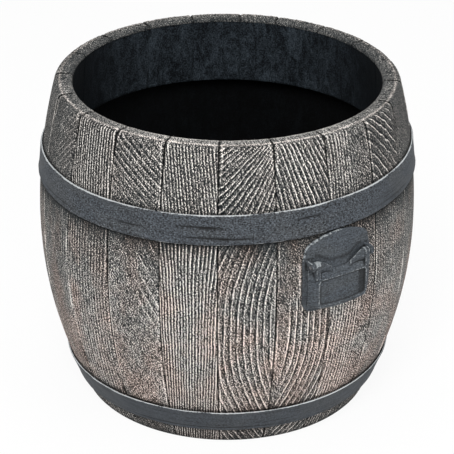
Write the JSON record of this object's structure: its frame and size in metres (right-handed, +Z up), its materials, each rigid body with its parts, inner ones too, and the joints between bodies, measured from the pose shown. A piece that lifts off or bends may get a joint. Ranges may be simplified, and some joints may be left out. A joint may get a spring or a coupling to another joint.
{
  "type": "wooden barrel planter",
  "caption": "Open coopered barrel planter: upright wooden staves held by riveted iron hoops over a drained wooden head, with iron drop handles on its sides.",
  "frame": {"origin": "middle of the barrel's foot, in the plane that it stands on", "axes": "+Z up the barrel's axis, +X out through the middle of the right handle, +Y along the head boards' row"},
  "size_m": [0.4602, 0.4371, 0.383],
  "materials": {
    "stave_wood": "weathered grey-brown, with raised pale dry-brushed grain over dark grey",
    "head_wood": "sawn, unpainted, dark with age",
    "hoop_iron": "matt blue-grey paint, worn along the edges",
    "handle_iron": "matt blue-grey casting with worn edges",
    "steel": "dull zinc plate"
  },
  "bodies": {
    "barrel": {"stave_01": "stave_wood", "stave_02": "stave_wood", "stave_03": "stave_wood", "stave_04": "stave_wood", "stave_05": "stave_wood", "stave_06": "stave_wood", "stave_07": "stave_wood", "stave_08": "stave_wood", "stave_09": "stave_wood", "stave_10": "stave_wood", "stave_11": "stave_wood", "stave_12": "stave_wood", "stave_13": "stave_wood", "stave_14": "stave_wood", "stave_15": "stave_wood", "stave_16": "stave_wood", "stave_17": "stave_wood", "stave_18": "stave_wood", "stave_19": "stave_wood", "stave_20": "stave_wood", "head_board_1": "head_wood", "head_board_2": "head_wood", "head_board_3": "head_wood", "head_board_4": "head_wood", "head_board_5": "head_wood", "head_dowels": "head_wood", "upper_hoop": "hoop_iron", "upper_hoop_rivets": "hoop_iron", "lower_hoop": "hoop_iron", "lower_hoop_rivets": "hoop_iron", "handle_plate_right": "handle_iron", "handle_plate_left": "handle_iron", "handle_pins": "steel", "handle_bolts": "handle_iron", "handle_washers": "steel", "handle_nuts": "steel"},
    "bail_right": {"handle_bail_right": "handle_iron"},
    "bail_left": {"handle_bail_left": "handle_iron"}
  },
  "joints": [
    {"name": "bail_right_swing", "type": "hinge", "parent": "barrel", "child": "bail_right", "pos_m": [0.22461, 0, 0.247], "axis": [0, -1, 0], "range_deg": [0, 170]},
    {"name": "bail_left_swing", "type": "hinge", "parent": "barrel", "child": "bail_left", "pos_m": [-0.22461, 0, 0.247], "axis": [0, 1, 0], "range_deg": [0, 170]}
  ]
}
